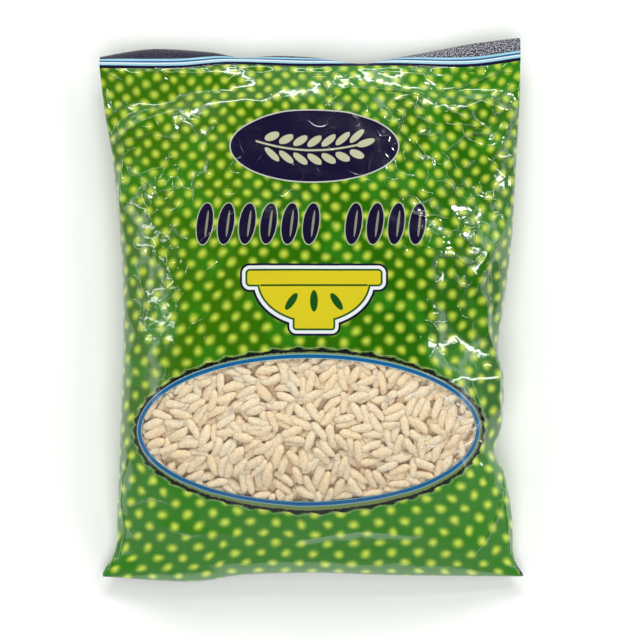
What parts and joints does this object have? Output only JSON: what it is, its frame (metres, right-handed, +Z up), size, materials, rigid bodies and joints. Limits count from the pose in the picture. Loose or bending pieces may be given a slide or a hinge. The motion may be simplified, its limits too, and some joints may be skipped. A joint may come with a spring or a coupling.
{
  "type": "bag of puffed rice",
  "caption": "Sealed pillow bag of puffed rice in glossy film, lying on its back, with a clear oval window that shows the grains.",
  "frame": {"origin": "on the surface that the bag lies on, under the middle of its outline", "axes": "+X across the bag, to the right as its front is read; +Y along the bag, towards the top seal; +Z up, out of the front panel"},
  "size_m": [0.1991, 0.2567, 0.0498],
  "materials": {
    "film": "glossy printed film",
    "rice": "matt, dry and lightly puffed"
  },
  "bodies": {
    "root": {"pouch": "film", "puffed_rice": "rice"}
  },
  "joints": []
}
